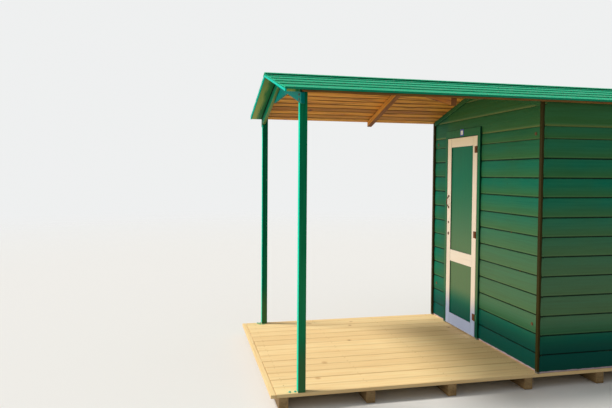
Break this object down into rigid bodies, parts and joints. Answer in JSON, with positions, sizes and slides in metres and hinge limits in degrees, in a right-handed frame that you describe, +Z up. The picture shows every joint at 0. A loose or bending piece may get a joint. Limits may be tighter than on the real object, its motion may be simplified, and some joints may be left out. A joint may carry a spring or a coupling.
{
  "type": "beach hut",
  "caption": "Timber bathing hut with an open porch on two posts, a low pitched roof over it, board walls and a panelled door that opens outwards.",
  "frame": {"origin": "middle of the footprint at ground level, on the underside of the middle floor bearer", "axes": "+Z up, -Y towards the porch front, +X to the right seen from the porch front"},
  "size_m": [2.056, 4.247, 2.6145],
  "materials": {
    "green_paint": "satin paint",
    "white_paint": "satin paint",
    "roof_green": "matt paint",
    "bare_planks": "bare, weathered",
    "deck_wood": "bare, weathered",
    "rusty_steel": "rusty",
    "dark_iron": "dark, worn",
    "enamel": "enamel"
  },
  "bodies": {
    "hut": {"floor_bearers": "deck_wood", "porch_deck": "deck_wood", "cabin_floor": "deck_wood", "post_left": "green_paint", "post_right": "green_paint", "barge_board_left": "green_paint", "barge_board_right": "green_paint", "apex_plate": "green_paint", "ridge_beam": "bare_planks", "porch_rafter_left": "bare_planks", "porch_rafter_right": "bare_planks", "roof_boards_left": "bare_planks", "roof_boards_right": "bare_planks", "roof_cover_left": "roof_green", "roof_cover_right": "roof_green", "ridge_cap": "roof_green", "front_verge": "green_paint", "back_verge": "green_paint", "front_wall_left": "green_paint", "front_wall_right": "green_paint", "front_wall_over_door": "green_paint", "front_gable": "green_paint", "back_wall": "green_paint", "back_gable": "green_paint", "left_wall": "green_paint", "right_wall": "green_paint", "corner_strips": "green_paint", "gable_trims": "green_paint", "door_frame": "green_paint", "door_sill": "deck_wood", "architrave": "green_paint", "hinge_leaves_frame": "rusty_steel", "number_plate": "enamel", "wall_bolt_caps": "rusty_steel"},
    "door": {"door_stile_lock": "white_paint", "door_stile_hinge": "white_paint", "door_rail_top": "white_paint", "door_rail_middle": "white_paint", "door_rail_bottom": "white_paint", "door_panel_upper": "green_paint", "door_panel_lower": "green_paint", "hinge_leaves_door": "rusty_steel", "door_pull": "dark_iron", "lock_plates": "dark_iron"}
  },
  "joints": [
    {"name": "door_hinge", "type": "hinge", "parent": "hut", "child": "door", "pos_m": [-0.0065, 0.0685, 1.1175], "axis": [0, 0, 1], "range_deg": [0, 160]}
  ]
}
